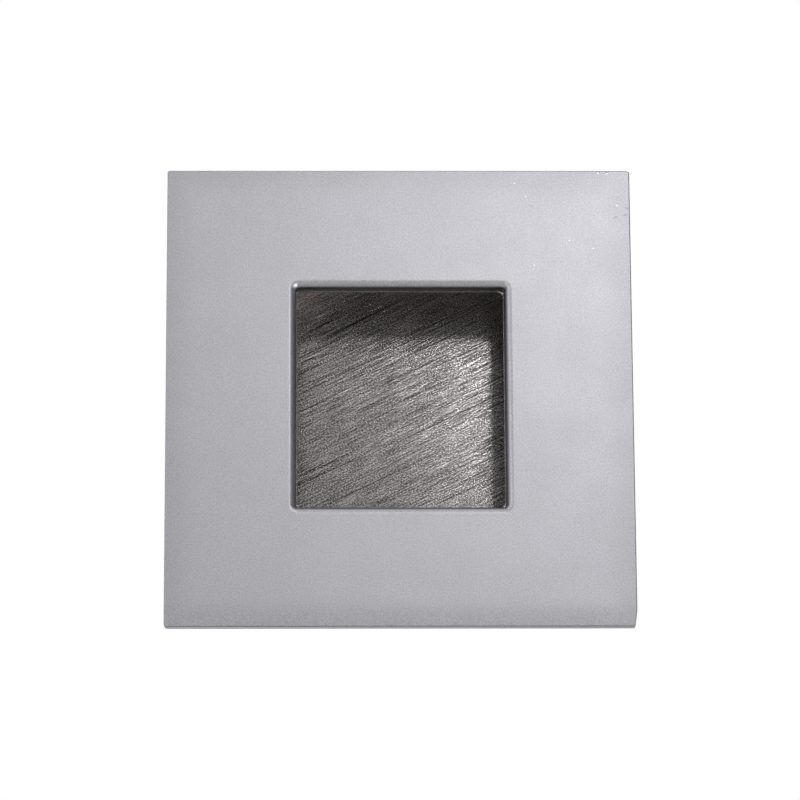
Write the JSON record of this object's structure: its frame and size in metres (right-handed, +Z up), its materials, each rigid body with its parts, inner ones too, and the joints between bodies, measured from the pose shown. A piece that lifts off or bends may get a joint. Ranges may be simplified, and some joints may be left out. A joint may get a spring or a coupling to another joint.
{
  "type": "pocket door pull",
  "caption": "Square flush pull for a pocket door: a satin metal plate with a rounded finger opening over a shallow undercut pan of brushed sheet.",
  "frame": {"origin": "centre of the plate's back face, in the plane of the door's face", "axes": "+Y into the door, the front faces -Y; +Z up the door; +X right as seen from the front"},
  "size_m": [0.0698, 0.0178, 0.0698],
  "materials": {
    "satin_plate": "cool grey satin, fine grained and softly clouded, brighter on the rolled lip",
    "brushed_pan": "warm grey, coarsely brushed in straight strokes that rise to the right"
  },
  "bodies": {
    "root": {"face_plate": "satin_plate", "finger_pan": "brushed_pan"}
  },
  "joints": []
}
